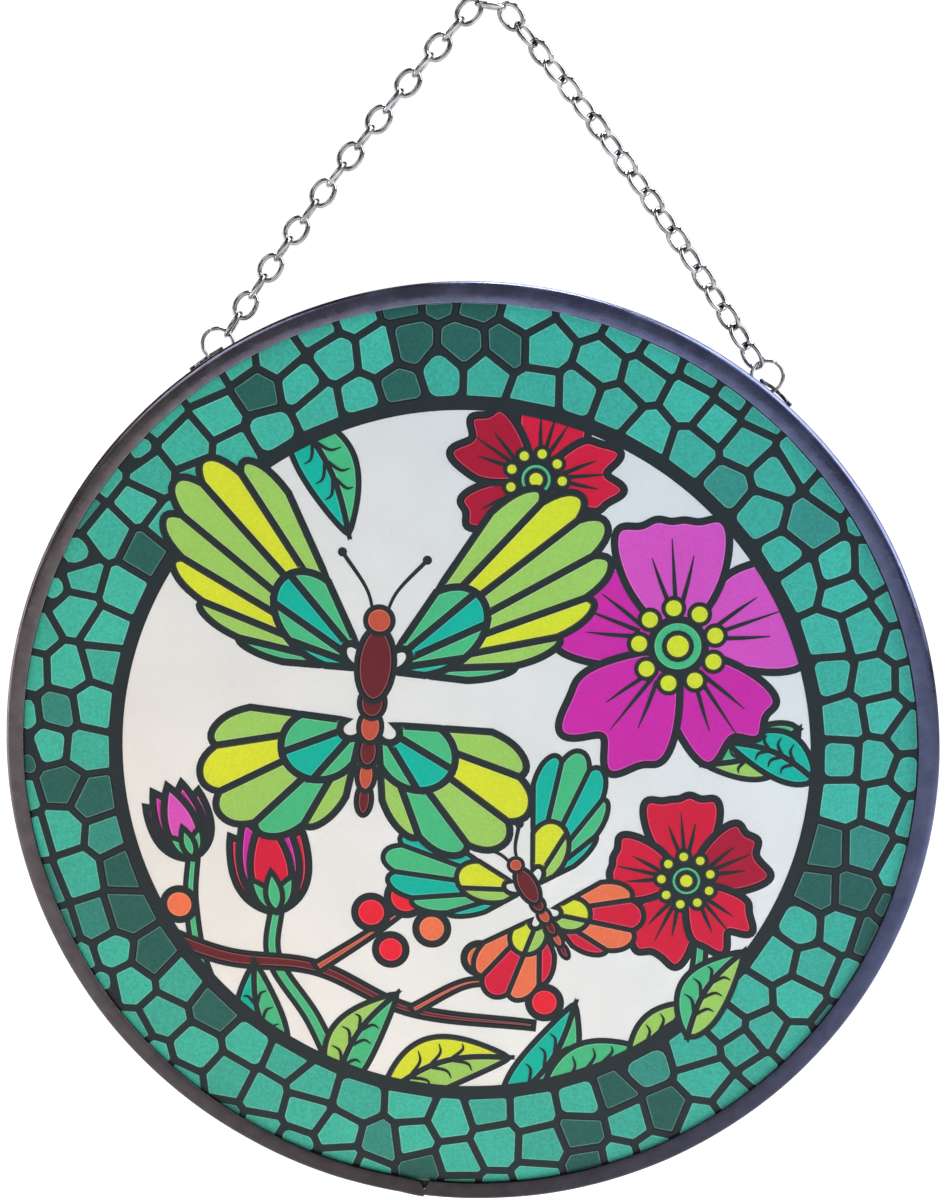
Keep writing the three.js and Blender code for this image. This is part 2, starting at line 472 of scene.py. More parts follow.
# A smooth line through a few points, by Catmull and Rom's cubic.
def spline(points, steps, closed=False):
    p = np.asarray(points, float)
    if closed:
        p = np.concatenate([p[-1:], p, p[:2]])
    else:
        p = np.concatenate([2 * p[:1] - p[1:2], p, 2 * p[-1:] - p[-2:-1]])
    spans = len(p) - 3
    at = np.linspace(0, spans, steps, endpoint=not closed)
    i = np.minimum(at.astype(int), spans - 1)
    t = (at - i)[:, None]
    a, b, c, d = p[i], p[i + 1], p[i + 2], p[i + 3]
    return 0.5 * (
        2 * b
        + (c - a) * t
        + (2 * a - 5 * b + 4 * c - d) * t**2
        + (3 * b - a - 3 * c + d) * t**3
    )


# A staple on the rim's wall whose crown passes behind the jump ring.
def makeBail(name, side, v):
    back = rimValues["depth"] / 2
    foot = rimValues["radius"] + v["wire"] / 2 + 0.05
    crown = foot + 0.2
    deep = back + v["behindRings"] + ringValues["wire"] / 2 + v["wire"] / 2 + 0.1
    low = back - v["footIn"] - v["wire"] / 2
    across = 2 * rimValues["radius"]
    middle = side * (math.radians(v["ringAngle"]) + (ringValues["outer"] - ringValues["wire"]) / across)
    spread = v["span"] / across
    plan = np.array(
        [
            [-1, foot, low],
            [-0.72, foot, low + 0.25],
            [-0.28, crown, deep - 0.35],
            [0, crown, deep],
            [0.28, crown, deep - 0.35],
            [0.72, foot, low + 0.25],
            [1, foot, low],
        ]
    )
    angle, radius, depth = spline(plan, v["steps"]).T
    angle = middle + spread * angle
    line = placed(radius * np.sin(angle), depth, radius * np.cos(angle))
    outward = unit(line - np.array(discCentre)) * [1, 0, 1]
    t = np.linspace(-1, 1, v["steps"])
    thick = v["wire"] / 2 * mm * np.clip(1 - np.abs(t) ** 40, 0.2, 1) * (1 + 0.14 * np.abs(t) ** 6)
    points, groups = tube(line, thick, outward, v["around"], False)
    bail = meshObject(name + "_wire", points, groups, True, 50)
    bail.data.materials.append(bailMetal)
    return bail


# A round ring with a butt gap, its ends a hair out of line.
def makeRing(name, v, gapAt):
    low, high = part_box(name)
    centre = np.array((low + high) / 2)
    t = np.linspace(0, 1, v["steps"])
    angle = math.radians(gapAt) + math.radians(v["gap"]) * 0.5 + t * math.radians(360 - v["gap"])
    radius = (v["outer"] - v["wire"]) / 2
    aside = v["offset"] * (2 * t - 1)
    line = np.stack([radius * np.cos(angle), aside, radius * np.sin(angle)], 1) * mm + centre
    ends = np.minimum(t, 1 - t) * v["steps"]
    thick = v["wire"] / 2 * mm * np.clip(0.8 + 0.2 * ends, 0, 1)
    points, groups = tube(line, thick, np.array([0.0, 1.0, 0.0]), v["around"], False)
    ring = meshObject(name + "_wire", points, groups, True, 50)
    ring.data.materials.append(brightMetal)
    return ring


# The oval's centre line in its own plane with a weld that swells and dips at one side.
def linkTemplate(v):
    angle = 2 * math.pi * np.arange(v["steps"]) / v["steps"]
    across, up = np.cos(angle), np.sin(angle)
    long, short = (v["length"] - v["wire"]) / 2, (v["width"] - v["wire"]) / 2
    line = np.stack(
        [
            long * np.sign(across) * np.abs(across) ** v["square"],
            short * np.sign(up) * np.abs(up) ** v["square"],
            0 * angle,
        ],
        1,
    )
    fromWeld = np.abs(angle - math.pi / 2)
    swelling, dip = np.exp(-((fromWeld / 0.2) ** 2)), np.exp(-((fromWeld / 0.05) ** 2))
    swell = 1 + v["weld"] * swelling - 1.6 * v["weld"] * dip
    return tube(line * mm, v["wire"] / 2 * mm * swell, np.array([0.0, 0.0, 1.0]), v["around"], True)


# A link's place and axes are read from its solid: the longest spread runs along it, the least is its face.
# A leg's links sink by the play between them, most at the top, where the first rests on the middle link.
def makeLink(name, template, flip):
    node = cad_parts[name]
    corners = np.zeros(len(node.data.vertices) * 3, np.float32)
    node.data.vertices.foreach_get("co", corners)
    corners = np.unique(np.round(corners.reshape(-1, 3).astype(float), 8), axis=0)
    low, high = corners.min(0), corners.max(0)
    centre = (low + high) / 2
    if abs(centre[0]) > linkValues["wire"] * mm:
        centre[2] -= linkValues["sink"] * mm * np.clip(1 + centre[2] / legHeight, 0, 1)
    axes = np.linalg.svd(corners - corners.mean(0), full_matrices=False)[2]
    axes[2] = np.cross(axes[0], axes[1])
    axes[:2] *= flip
    points = template[0] @ axes + centre
    link = meshObject(name + "_wire", points, template[1])
    link.data.materials.append(brightMetal)
    return link


# Bright plated wire with slow changes of gloss, and patches of darker and brighter colour painted in as
# reflections.
def brightPlate(name, look):
    material, shader, nodes, link = newMaterial(name, look["colour"], 0.12, 1.0)
    link(noise(nodes, link, 900, 4, *look["roughness"]), shader.inputs["Roughness"])
    # painted reflections: darker and brighter patches in the wire's colour
    paintedReflectionPatches = noise(nodes, link, 380, 3, 0.6, 1.15, ends=(0.38, 0.62))
    link(mixed(nodes, link, "MULTIPLY", 1.0, look["colour"], paintedReflectionPatches), shader.inputs["Base Color"])
    bump(nodes, link, shader, noise(nodes, link, 900, 3), 0.008, 0.4)
    return material


brightMetal = brightPlate("bright plate", brightLook)
# the bails take the rim's painted shade and painted blue reflection, on a darker colour
bailMetal = darkMetal("bail metal", {**rimLook, "colour": (0.05, 0.045, 0.05), "paintedCoolLight": (0.05, 0.05, 0.07)})
for side, name in ((-1, "bail_left"), (1, "bail_right")):
    bail = makeBail(name, side, bailValues)
    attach(bail, "root")
    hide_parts(name)
for name, gapAt in (("jump_ring_left", 118), ("jump_ring_right", 66)):
    ring = makeRing(name, ringValues, gapAt)
    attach(ring, "root")
    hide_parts(name)
template = linkTemplate(linkValues)
linkNames = sorted(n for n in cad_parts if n.startswith("chain_link_"))
for number, name in enumerate(linkNames):
    link = makeLink(name, template, (1, -1)[number % 3 == 1])
    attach(link, "root")
    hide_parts(name)
print("bails, rings and chain made")


# ---- the print: a mosaic border round a picture of butterflies and flowers

printValues = {
    "ringInner": 55.29,
    "ringOuter": 57.5,
    "shift": (-0.54, -0.33),
    "outerRadius": 73.7,
    "tileSize": 7.0,
    "tileRows": (60.3, 66.4, 72.4),
    "tileLine": 1.25,
    "tileEdge": 72.6,
    "outline": 1.2,
    "fringe": 0.24,  # dark tinted edge of a line beside a coloured cell
    "paleEdge": 0.17,
    "film": 0.12,
    "lineRise": 0.04,
    "seed": 11,
}
inks = {
    "teal": (56, 162, 144),
    "tealMid": (46, 127, 115),
    "tealDeep": (33, 87, 80),
    "magenta": (186, 34, 150),
    "pink": (196, 74, 173),
    "crimson": (193, 19, 53),
    "ruby": (157, 13, 46),
    "green": (63, 169, 116),
    "lime": (142, 186, 87),
    "citron": (196, 205, 42),
    "turquoise": (0, 163, 144),
    "maroon": (93, 28, 34),
    "rust": (177, 74, 55),
    "orange": (215, 106, 70),
    "red": (213, 27, 48),
    "ground": (228, 229, 228),
    "lead": (30, 39, 43),
}


# An ink's colour as light, plain or as the dark fringe or pale edge of its cell.
def inkColour(name, kind="plain", tone=1.0):
    screen = np.array(inks[name], float) / 255
    if kind == "fringe":
        screen = screen * 0.3
    if kind == "edge":
        screen = screen * 0.72 + 0.24
    screen = np.clip(screen * tone, 0, 1)
    return np.append(np.where(screen < 0.04045, screen / 12.92, ((screen + 0.055) / 1.055) ** 2.4), 1)


# Points turned anticlockwise about zero and then moved to a place.
def turned(points, degrees, place=(0, 0)):
    a = math.radians(degrees)
    turn = np.array([[math.cos(a), math.sin(a)], [-math.sin(a), math.cos(a)]])
    return np.asarray(points, float) @ turn + np.asarray(place, float)


# Twice the signed area: positive when the loop runs anticlockwise.
def loopArea(loop):
    after = np.roll(loop, -1, 0)
    return float((loop[:, 0] * after[:, 1] - after[:, 0] * loop[:, 1]).sum())


# Each corner moves along its bisector, further at a sharp corner, up to 2.2 times the distance.
def offset(loop, distance):
    before = unit(loop - np.roll(loop, 1, 0))
    after = np.roll(before, -1, 0)
    out = unit(np.stack([before[:, 1] + after[:, 1], -before[:, 0] - after[:, 0]], 1))
    lean = np.clip((out * np.stack([before[:, 1], -before[:, 0]], 1)).sum(1), 0.45, 1)
    return loop + distance * out / lean[:, None]


# A circle as a loop of points about a step apart.
def circle(place, radius, step=0.8):
    n = max(16, int(2 * math.pi * radius / step))
    a = 2 * math.pi * np.arange(n) / n
    return np.stack([np.cos(a), np.sin(a)], 1) * radius + np.asarray(place, float)


# The outline of a line whose width changes from one end to the other.
def ribbon(line, widths):
    along = unit(np.gradient(line, axis=0))
    side = np.stack([-along[:, 1], along[:, 0]], 1)
    widths = np.interp(np.linspace(0, 1, len(line)), np.linspace(0, 1, len(widths)), widths)
    half = side * widths[:, None] / 2
    return np.concatenate([line - half, (line + half)[::-1]])


# Outlines are painted in order, each over those before it; one with next to no area is left out.
def paint(layers, loop, piece, colour):
    area = loopArea(loop)
    if abs(area) > 0.02:
        layers.append((loop if area > 0 else loop[::-1], piece, colour))


# A coloured cell with its dark line, the line's tinted fringe and its own pale edge.
def cell(layers, loop, ink, line=None, tone=1.0):
    half = (printValues["outline"] if line is None else line) / 2
    loop = loop if loopArea(loop) > 0 else loop[::-1]
    for distance, piece, colour in (
        (half, "lines", inkColour("lead")),
        (printValues["fringe"] - half, "lines", inkColour(ink, "fringe")),
        (-half, "cells", inkColour(ink, "edge")),
        (-half - printValues["paleEdge"], "cells", inkColour(ink, "plain", tone)),
    ):
        layers.append((offset(loop, distance), piece, colour))


# A dark line of changing width.
def stroke(layers, line, widths):
    paint(layers, ribbon(np.asarray(line, float), widths), "lines", inkColour("lead"))


# What is left of a convex loop on the near side of a straight cut.
def clipped(loop, place, normal):
    reach = (loop - place) @ normal
    nextLoop, nextReach = np.roll(loop, -1, 0), np.roll(reach, -1)
    crossing = reach * nextReach < 0
    share = np.where(crossing, reach / np.where(crossing, reach - nextReach, 1), 0)[:, None]
    both = np.stack([loop, loop + (nextLoop - loop) * share], 1).reshape(-1, 2)
    return both[np.stack([reach <= 0, crossing], 1).ravel()]


# A convex loop grown by a radius, with arcs at its corners.
def rounded(loop, radius, steps=4):
    loop = loop[np.linalg.norm(np.roll(loop, -1, 0) - loop, axis=1) > 1e-5]
    edge = unit(np.roll(loop, -1, 0) - loop)
    normal = np.stack([edge[:, 1], -edge[:, 0]], 1)
    last = np.arctan2(normal[:, 1], normal[:, 0])
    turn = (last - np.roll(last, 1)) % (2 * math.pi)
    a = (last - turn)[:, None] + turn[:, None] * np.linspace(0, 1, steps)
    return (loop[:, None] + radius * np.stack([np.cos(a), np.sin(a)], -1)).reshape(-1, 2)


# The border: rows of points round the picture, shaken out of line, each with the convex cell of what lies
# nearer to it than to its neighbours. Slow waves round the border gather the darker tiles.
def mosaic(values):
    rng = np.random.default_rng(values["seed"])
    layers, sites = [], []
    for row, radius in enumerate(values["tileRows"]):
        count = round(2 * math.pi * radius / values["tileSize"])
        angle = 2 * math.pi * (np.arange(count) + 0.5 * (row % 2)) / count
        angle = angle + rng.normal(0, 0.15, count) * values["tileSize"] / radius
        reach = radius + rng.normal(0, 0.85, count)
        sites.append(np.stack([np.sin(angle), np.cos(angle)], 1) * reach[:, None])
    sites = np.concatenate(sites)
    waves = rng.uniform(0, 2 * math.pi, 3)
    square = np.array([[-9, -9], [9, -9], [9, 9], [-9, 9]], float)
    half = values["tileLine"] / 2
    for site in sites:
        apart = np.linalg.norm(sites - site, axis=1)
        near = sites[np.argsort(apart)[1:15]]
        out = unit(site)
        cuts = [((site + other) / 2, unit(other - site)) for other in near]
        cuts += [(out * values["tileEdge"], out), (out * (values["ringOuter"] - half + 0.05), -out)]
        corner = rng.choice([0.2, 0.45, 1.0, 1.5], p=[0.5, 0.25, 0.2, 0.05])
        for radius in (corner, 0.12):
            loop = site + square
            for place, normal in cuts:
                loop = clipped(loop, place - normal * (half + radius), normal)
            if len(loop) > 2 and loopArea(loop) > 0.25:
                break
        dark = sum(np.sin(n * math.atan2(*site) + p) for n, p in zip((3, 7, 13), waves)) * 0.35
        dark += rng.normal(0, 0.75)
        ink = "tealDeep" if dark > 0.95 else "tealMid" if dark > 0.75 else "teal"
        tone = rng.uniform(0.95, 1.04)
        if len(loop) < 3 or loopArea(loop) < 0.25:
            continue
        for grow, piece, colour in (
            (values["fringe"], "lines", inkColour(ink, "fringe")),
            (0, "tiles", inkColour(ink, "edge", tone)),
            (-values["paleEdge"], "tiles", inkColour(ink, "plain", tone)),
        ):
            layers.append((rounded(loop, max(radius + grow, 0.02)), piece, colour))
    return layers


# A petal as a fan about the flower's heart: its reach falls off towards both sides, ripples along the rim
# and dips a little in the middle.
def petal(place, facing, spread, reach, ripple, waves, dip, blunt, phase):
    t = np.linspace(-1, 1, max(24, int(reach * spread / 22)))
    r = reach * np.clip(1 - np.abs(t) ** blunt, 0, 1) ** 0.55
    r = r * (1 + ripple * np.sin(waves * math.pi * t / 2 + phase)) * (1 - dip * np.exp(-((t / 0.16) ** 2)))
    a = np.radians(facing + spread * t / 2)
    return np.stack([np.cos(a), np.sin(a)], 1) * r[:, None] + np.asarray(place, float)


# An open flower: overlapping petals with creases, then a round heart with a ring of stamens.
def poppy(layers, place, size, facing, colours, seed, petals=5):
    rng = np.random.default_rng(seed)
    for n, k in enumerate([*range(0, petals, 2), *range(1, petals, 2)]):
        a = facing + 360 * k / petals + rng.uniform(-5, 5)
        reach = size * rng.uniform(0.9, 1.05)
        loop = petal(place, a, 430 / petals, reach, 0.055, 7, 0.12, 3.4, rng.uniform(0, 6))
        cell(layers, loop, colours[n % len(colours)])
        for side in (-1, 0, 1):
            bends = ((0.3, 8), (0.5, 12), (0.8 - 0.12 * abs(side), 13))
            crease = [turned([[size * r, 0]], a + side * lean, place)[0] for r, lean in bends]
            stroke(layers, spline(crease, 12), [0.75, 0.6, 0.15])
    cell(layers, circle(place, size * 0.2), "green")
    for k in range(9):
        spot = turned([[size * 0.285, 0]], facing + 40 * k, place)[0]
        cell(layers, circle(spot, size * 0.075, 0.4), "citron", 0.7)
    cell(layers, circle(place, size * 0.1), "citron", 0.8)


# A pointed outline about a straight line: its half width rises and falls as a sine.
def leafLoop(place, facing, length, width):
    t = np.linspace(0, 1, max(14, int(length / 0.8)))
    wide = width / 2 * np.clip(np.sin(math.pi * t**0.8), 0, 1) ** 0.85
    half = np.stack([t * length, wide], 1)
    return turned(np.concatenate([half, (half * [1, -1])[::-1][1:-1]]), facing, place)


# A tulip seen from the side: pointed petals about its foot with the middle one in front, and sepals.
def tulip(layers, place, size, facing, colours):
    for turn, k in ((-24, 0), (24, 0), (-11, 1), (12, 1), (0, 2)):
        reach = size * (0.9 if abs(turn) > 20 else 1)
        cell(layers, leafLoop(place, facing + turn, reach, size * 0.42), colours[k])
    for turn in (-32, 32, 0):
        cell(layers, leafLoop(place, facing + turn, size * 0.42, size * 0.17), "green", 0.9)


# A leaf in two halves along a swaying rib, with side veins.
def leaf(layers, place, facing, length, width, colours, bend=0.08, veins=3):
    t = np.linspace(0, 1, max(16, int(length / 0.7)))
    wide = width / 2 * np.clip(np.sin(math.pi * t**0.8), 0, 1) ** 0.85
    rib = np.stack([t * length, bend * length * np.sin(math.pi * t)], 1)
    for side, ink in zip((1, -1), colours):
        edge = rib + np.stack([0 * t, side * wide], 1)
        cell(layers, turned(np.concatenate([rib, edge[::-1][1:-1]]), facing, place), ink, 0.95)
        for k in range(veins):
            i = int((0.25 + 0.5 * k / veins) * (len(t) - 1))
            j = min(len(t) - 2, i + int(0.14 * len(t)))
            tip = rib[j] + [0, side * wide[j] * 0.72]
            bow = (rib[i] + tip) / 2 + [0.05 * length, 0]
            stroke(layers, turned(spline([rib[i], bow, tip], 10), facing, place), [0.6, 0.5, 0.15])
    stroke(layers, turned(np.concatenate([rib, rib[-1:] + [0.8, 0]]), facing, place), [0.95, 0.9, 0.5])


# A wing as a fan about its root, cut by veins into rows of cells; the last row's tips are scalloped.
def wing(layers, place, facing, spread, reach, rows, lean, line):
    for number, (low, high, colours) in enumerate(rows):
        cells = len(colours)
        for k in range(cells):
            t = np.linspace(k / cells, (k + 1) / cells, 12)
            u = t if lean < 0 else 1 - t
            shape = np.sin(math.pi * (0.2 + 0.62 * u)) ** 0.9 * (1 + abs(lean) * (0.5 - u))
            scallop = 1 - 0.08 * np.abs(2 * (t * cells - k) - 1) ** 2.4 * (number == 0)
            a = np.radians(facing + spread * (t - 0.5))
            ray = np.stack([np.cos(a), np.sin(a)], 1)
            far = ray * (reach * shape * high * scallop)[:, None]
            near = ray * (reach * shape * low)[:, None]
            sides = np.linspace(0, 1, 8)[1:-1, None]
            up = near[-1] + (far[-1] - near[-1]) * sides
            down = near[:1] + (far[:1] - near[:1]) * sides
            loop = np.concatenate([near[::-1], down, far, up[::-1]])
            cell(layers, loop + np.asarray(place, float), colours[k], line)


# A butterfly from above, its head towards facing: hind wings, fore wings, feelers, then the body.
def butterfly(layers, place, facing, size, colours, line):
    for side in (1, -1):
        for name, root, turn, spread, reach, lean in (
            ("hind", -0.12, 130, 84, 0.7 * size, 0.3),
            ("fore", 0.1, 60, 62, size, 0.7),
        ):
            rows = [(low, high, row if side > 0 else row[::-1]) for low, high, row in colours[name]]
            spot = turned([[root * size, side * 0.03 * size]], facing, place)[0]
            wing(layers, spot, facing + side * turn, spread, reach, rows, -side * lean, line)
    for side in (1, -1):
        feeler = spline(np.array([[0.3, side * 0.02], [0.42, side * 0.06], [0.56, side * 0.17]]) * size, 20)
        stroke(layers, turned(feeler, facing, place), [0.5, 0.55, 0.7])
        knob = turned(circle(feeler[-1], 0.75, 0.3), facing, place)
        paint(layers, knob, "lines", inkColour("lead"))
    for k in range(5):
        half = np.array([0.065, 0.052 * (0.6 + 0.1 * k)]) * size
        loop = circle((0, 0), 1, 0.25) * half + [(0.1 * k - 0.435) * size, 0]
        cell(layers, turned(loop, facing, place), ("maroon", "rust")[k % 2], line * 0.7)
    thorax = circle((0, 0), 1, 0.2) * [0.15 * size, 0.075 * size] + [0.12 * size, 0]
    cell(layers, turned(thorax, facing, place), "maroon", line * 0.8)
    cell(layers, turned(circle((0.3 * size, 0), 0.055 * size, 0.4), facing, place), "rust", line * 0.7)


pictureValues = {
    "stems": (
        (((-29, -27), (-29, -36), (-22, -46), (-16, -58)), (1.9, 2.1, 2.3)),
        (((-43, -19), (-43, -28), (-40, -40), (-31, -54)), (1.6, 1.8, 2.0)),
        (((37, -16), (40, -30), (37, -42), (29, -58)), (1.7, 2.0, 2.2)),
    ),
    "backLeaves": (
        ((-30, 53), -62, 21, 9, ("green", "turquoise"), 0.08),
        ((-38, 50), -100, 19, 8, ("citron", "lime"), -0.08),
        ((53, 8), 205, 16, 8, ("lime", "green"), 0.1),
        ((56, 0), 160, 15, 7.5, ("turquoise", "turquoise"), -0.1),
    ),
    "poppies": (
        ((9, 45), 14.5, 80, ("crimson", "ruby"), 3),
        ((33, 20), 21.5, 20, ("pink", "magenta", "magenta"), 5),
        ((37, -18), 14, 100, ("crimson", "crimson", "ruby"), 8),
    ),
    "twigs": (
        (((-56, -30), (-38, -36), (-22, -37), (-6, -43), (14, -44)), (2.6, 2.4, 2.0, 1.6, 1.2), "maroon"),
        (((-22, -37), (-14, -31), (-8, -26)), (1.7, 1.3, 1.0), "rust"),
        (((-6, -43), (2, -38), (8, -37)), (1.5, 1.2, 0.9), "rust"),
    ),
    "berries": (
        (-8, -24, 3.0, "red"),
        (-13.5, -27, 2.7, "red"),
        (-3.5, -29, 2.6, "orange"),
        (-10, -33, 2.5, "red"),
        (10, -35, 2.8, "red"),
        (4.5, -33.4, 2.5, "orange"),
        (15.5, -40, 2.6, "red"),
        (-45, -28, 2.6, "orange"),
    ),
    "tulips": (
        ((-29, -28), 16, 100, ("crimson", "magenta", "crimson")),
        ((-43, -20), 12.5, 112, ("pink", "magenta", "pink")),
    ),
    "leaves": (
        ((-18, -58), 62, 20, 8, ("lime", "green"), 0.1),
        ((-10, -58), 22, 22, 9, ("citron", "lime"), 0.12),
        ((10, -58), 60, 21, 8.5, ("turquoise", "green"), -0.1),
        ((16, -57), 28, 21, 9, ("green", "turquoise"), 0.1),
        ((-27, -53), 108, 17, 7.5, ("turquoise", "green"), 0.1),
        ((30, -49), 40, 17, 7, ("lime", "citron"), 0.08),
    ),
    "frontLeaves": (((39, -44), 62, 17, 8, ("green", "lime"), 0.1),),
    "bigWings": {
        "fore": (
            (0.46, 1.0, ("lime", "citron", "lime", "lime", "citron", "lime", "green")),
            (0.12, 0.46, ("green", "turquoise", "green", "turquoise")),
        ),
        "hind": (
            (0.5, 1.0, ("lime", "citron", "lime", "green", "lime")),
            (0.14, 0.5, ("green", "turquoise", "green")),
        ),
    },
    "smallWings": {
        "fore": (
            (0.48, 1.0, ("turquoise", "green", "turquoise", "green", "turquoise")),
            (0.15, 0.48, ("citron", "lime")),
        ),
        "hind": (
            (0.45, 1.0, ("orange", "crimson", "orange", "crimson")),
            (0.15, 0.45, ("citron", "lime")),
        ),
    },
    "big": ((-15, 9), 88, 40, 1.2),
    "small": ((13, -23), 122, 22, 0.85),
}


# What the ring round the picture covers, then what lies over the ring.
def picture(values):
    behind, over = [], []
    for points, widths in values["stems"]:
        cell(behind, ribbon(spline(points, 60), widths), "green", 0.9)
    for args in values["backLeaves"]:
        leaf(behind, *args)
    for args in values["poppies"]:
        poppy(behind, *args)
    for points, widths, ink in values["twigs"]:
        cell(behind, ribbon(spline(points, 70), widths), ink, 0.85)
    for x, y, radius, ink in values["berries"]:
        cell(behind, circle((x, y), radius, 0.5), ink)
    for args in values["tulips"]:
        tulip(behind, *args)
    for args in values["leaves"]:
        leaf(behind, *args)
    for name in ("small", "big"):
        place, facing, size, line = values[name]
        butterfly(over, place, facing, size, values[name + "Wings"], line)
    for args in values["frontLeaves"]:
        leaf(over, *args)
    return behind, over


# Whether each point lies inside a loop that runs anticlockwise, by how often the loop winds round it.
def inside(points, loop):
    after = np.roll(loop, -1, 0)
    x, y = points[:, 0, None], points[:, 1, None]
    rising = (loop[:, 1] <= y) & (after[:, 1] > y)
    falling = (loop[:, 1] > y) & (after[:, 1] <= y)
    side = (after[:, 0] - loop[:, 0]) * (y - loop[:, 1]) - (x - loop[:, 0]) * (after[:, 1] - loop[:, 1])
    return (rising & (side > 0)).sum(1) - (falling & (side < 0)).sum(1) > 0


# The whole print as one flat net of triangles whose edges follow every outline, each triangle with the
# piece and colour of the topmost outline round it.
def printNet(values):
    shift = np.array(values["shift"])
    behind, over = picture(pictureValues)
    border = mosaic(values)
    inner, outer = circle((0, 0), values["ringInner"], 1.0), circle((0, 0), values["ringOuter"], 1.0)
    edge = circle(-shift, values["outerRadius"], 1.2)
    loops = [layer[0] for layer in behind + border + over] + [inner, outer, edge]
    sizes = np.array([len(loop) for loop in loops])
    first = np.repeat(np.cumsum(sizes) - sizes, sizes)
    at = np.arange(sizes.sum())
    following = np.where(at + 1 < first + np.repeat(sizes, sizes), at + 1, first)
    points = np.concatenate(loops)
    made = delaunay_2d_cdt(
        [Vector(p) for p in points.tolist()],
        np.stack([at, following], 1).tolist(),
        [],
        0,
        1e-4,
        False,
    )
    places = np.array([tuple(p) for p in made[0]])
    corners = np.array(made[2])
    middles = places[corners].mean(1)
    distance = np.linalg.norm(middles, axis=1)
    pieces = np.full(len(corners), "lines", dtype=object)
    colours = np.tile(inkColour("lead"), (len(corners), 1))
    opening = distance < values["ringInner"]
    pieces[opening] = "ground"
    colours[opening] = inkColour("ground")
    for group, where in ((behind, opening), (border, ~opening), (over, np.full(len(corners), True))):
        for loop, piece, colour in group:
            low, high = loop.min(0), loop.max(0)
            near = np.flatnonzero(where & ((middles > low) & (middles < high)).all(1))
            hit = near[inside(middles[near], loop)]
            pieces[hit], colours[hit] = piece, colour
    keep = np.linalg.norm(middles + shift, axis=1) < values["outerRadius"]
    across = places[corners]
    flat = np.abs(np.cross(across[:, 1] - across[:, 0], across[:, 2] - across[:, 0])) > 1e-7
    keep &= flat
    return places + shift, corners[keep], pieces[keep], colours[keep]


# One piece of the print as a thin closed film: its triangles in front, the same turned round behind, and
# walls along its edges.
def filmMesh(name, places, corners, colours, front, back):
    used, corners = np.unique(corners, return_inverse=True)
    corners = corners.reshape(-1, 3)
    flat = places[used]
    area = np.cross(flat[corners[:, 1]] - flat[corners[:, 0]], flat[corners[:, 2]] - flat[corners[:, 0]])
    corners = np.where((area > 0)[:, None], corners, corners[:, ::-1])
    n = len(flat)
    edges = np.concatenate([corners[:, [0, 1]], corners[:, [1, 2]], corners[:, [2, 0]]])
    codes, backCodes = edges[:, 0] * n + edges[:, 1], edges[:, 1] * n + edges[:, 0]
    border = ~np.isin(codes, backCodes)
    walls = edges[border]
    wallColours = np.concatenate([colours] * 3)[border]
    quads = np.stack([walls[:, 1], walls[:, 0], walls[:, 0] + n, walls[:, 1] + n], 1)
    points = np.concatenate([placed(flat[:, 0], depth, flat[:, 1]) for depth in (front, back)])
    groups = [corners, corners[:, ::-1] + n, quads]
    return meshObject(
        name, points, groups, False, None, np.concatenate([colours, colours, wallColours])
    )


printLook = {
    "roughness": (0.3, 0.5),
    "coat": 0.05,
    "coatRoughness": 0.15,
    "specular": 0.14,
    "grainSize": 2600,
    "relief": 0.012,
    "paintedWarmLight": (1.08, 0.99, 0.92),  # painted warm light at the lower left and painted cool light at the upper right
    "paintedCoolLight": (0.84, 0.95, 1.05),
    "paintedCoolLightWeights": (1.0, 0.8),
    "paintedCoolLightEnds": (-0.16, 0.0),
}


# Printed ink: the attribute's colour with a fine grain, tinted by painted warm light at the lower left and
# painted cool light at the upper right, under a thin gloss.
def inkMaterial(name, look, grain, transmission=0.0, roughness=None):
    material, shader, nodes, link = newMaterial(
        name, (0.5, 0.5, 0.5), 0.4, 0.0, look["coat"], look["coatRoughness"]
    )
    shader.inputs["Specular IOR Level"].default_value = look["specular"]
    ink = nodes.new("ShaderNodeAttribute")
    ink.attribute_name = "ink"
    speck = noise(nodes, link, look["grainSize"], 4, 1 - grain, 1 + grain)
    cloud = noise(nodes, link, 70, 3, 0.97, 1.03)
    # painted light: warm towards the lower left and cool towards the upper right, multiplied into every ink
    paintedCoolLightShare = drift(nodes, link, look["paintedCoolLightWeights"], look["paintedCoolLightEnds"])
    tint = mixed(nodes, link, "MIX", paintedCoolLightShare, look["paintedWarmLight"], look["paintedCoolLight"])
    tinted = mixed(nodes, link, "MULTIPLY", 1.0, ink.outputs["Color"], tint)
    grained = mixed(nodes, link, "MULTIPLY", 1.0, tinted, speck)
    link(mixed(nodes, link, "MULTIPLY", 1.0, grained, cloud), shader.inputs["Base Color"])
    shader.inputs["Transmission Weight"].default_value = transmission
    link(noise(nodes, link, 240, 4, *(roughness or look["roughness"])), shader.inputs["Roughness"])
    bump(nodes, link, shader, noise(nodes, link, look["grainSize"] * 0.6, 4), look["relief"], 0.7)
    return material


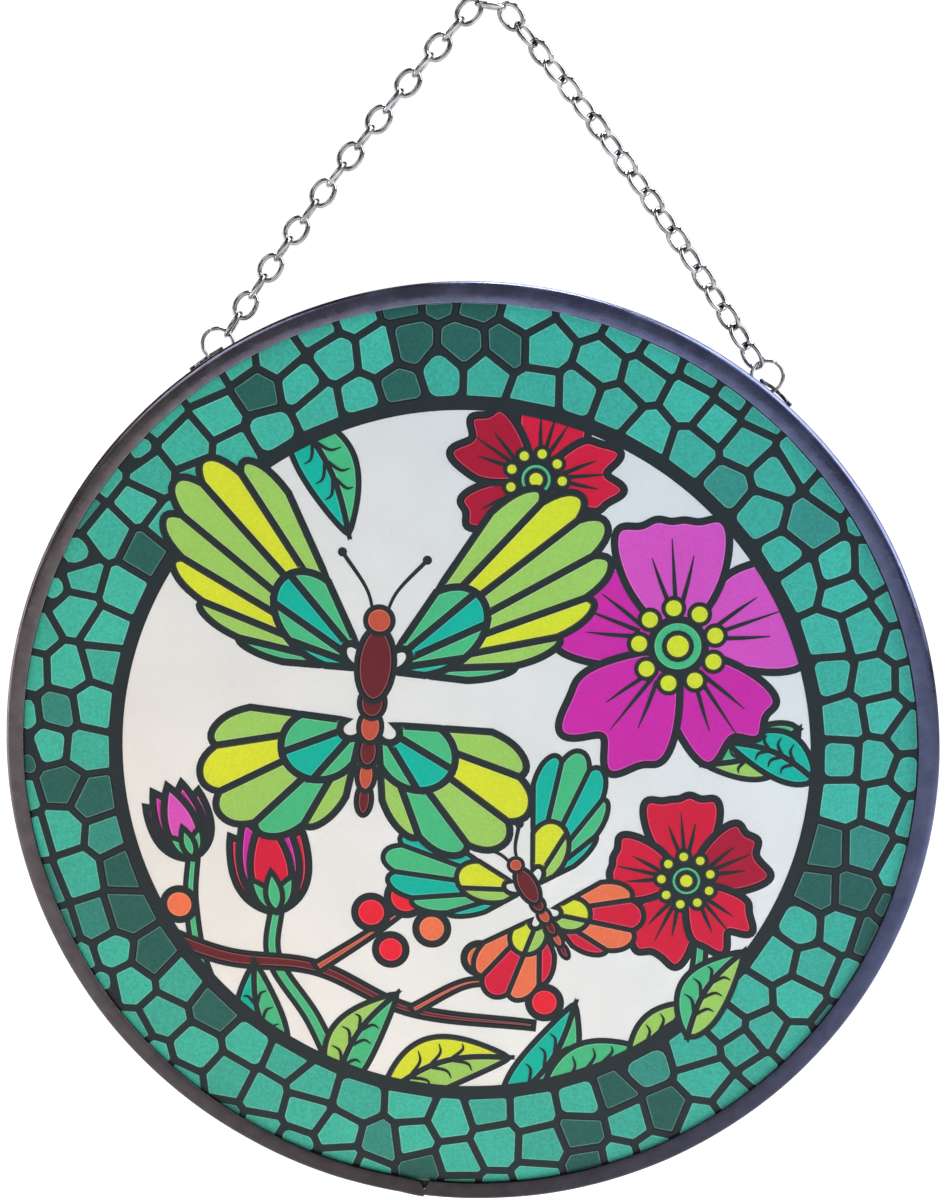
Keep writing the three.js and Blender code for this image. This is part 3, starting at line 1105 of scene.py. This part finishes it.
places, corners, pieces, colours = printNet(printValues)
print("print cut into", len(corners), "triangles")
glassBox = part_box("glass_panel")
glassFront = glassBox[0].y / mm - discCentre.y / mm
glassBack = glassBox[1].y / mm - discCentre.y / mm
filmKinds = {
    "tiles": ("mosaic_tiles", 0.0, inkMaterial("tile ink", printLook, 0.16)),
    "cells": ("picture_cells", 0.0, inkMaterial("picture ink", printLook, 0.07)),
    "lines": ("lead_lines", printValues["lineRise"], inkMaterial("line ink", printLook, 0.1)),
    "ground": (
        "pale_ground",
        0.0,
        inkMaterial("frosted ground", printLook, 0.02, 0.55, (0.3, 0.42)),
    ),
}
for kind, (name, rise, material) in filmKinds.items():
    these = pieces == kind
    film = filmMesh(
        name, places, corners[these], colours[these], glassFront - rise, glassFront + printValues["film"]
    )
    film.data.materials.append(material)
    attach(film, "root")
    print(name, len(film.data.polygons), "faces")


# ---- the clear pane that carries the print

paneValues = {"radius": 74.1, "bevel": 0.3, "behindFilm": 0.015, "columns": 240}
paneLook = {"colour": (0.96, 0.985, 0.975), "roughness": 0.04, "ior": 1.5}


# A bevelled disc, turned about its middle.
def makePane(v, look):
    front = glassFront + printValues["film"] + v["behindFilm"]
    flat = v["radius"] - v["bevel"]
    wall = [[v["radius"], front + v["bevel"]], [v["radius"], glassBack - v["bevel"]]]
    section = np.array([[flat, front], *wall, [flat, glassBack]])
    angle = 2 * math.pi * np.arange(v["columns"]) / v["columns"]
    across = section[:, :1] * np.sin(angle)
    up = section[:, :1] * np.cos(angle)
    deep = np.repeat(section[:, 1:], v["columns"], 1)
    points = placed(across, deep, up).reshape(-1, 3)
    m = v["columns"]
    i, k = (g.ravel() for g in np.meshgrid(np.arange(3), np.arange(m), indexing="ij"))
    beside = (k + 1) % m
    quads = np.stack([i * m + k, i * m + beside, (i + 1) * m + beside, (i + 1) * m + k], 1)
    cap = np.arange(m)[None]
    groups = facedOut(points, [quads, cap[:, ::-1], cap + 3 * m])
    pane = meshObject("clear_pane", points, groups, True, 30)
    material, shader, nodes, link = newMaterial("clear glass", look["colour"], look["roughness"])
    shader.inputs["Transmission Weight"].default_value = 1.0
    shader.inputs["IOR"].default_value = look["ior"]
    bump(nodes, link, shader, noise(nodes, link, 90, 2), 0.02, 0.3)
    pane.data.materials.append(material)
    return pane


pane = makePane(paneValues, paneLook)
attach(pane, "root")
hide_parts("glass_panel")
print("pane made")
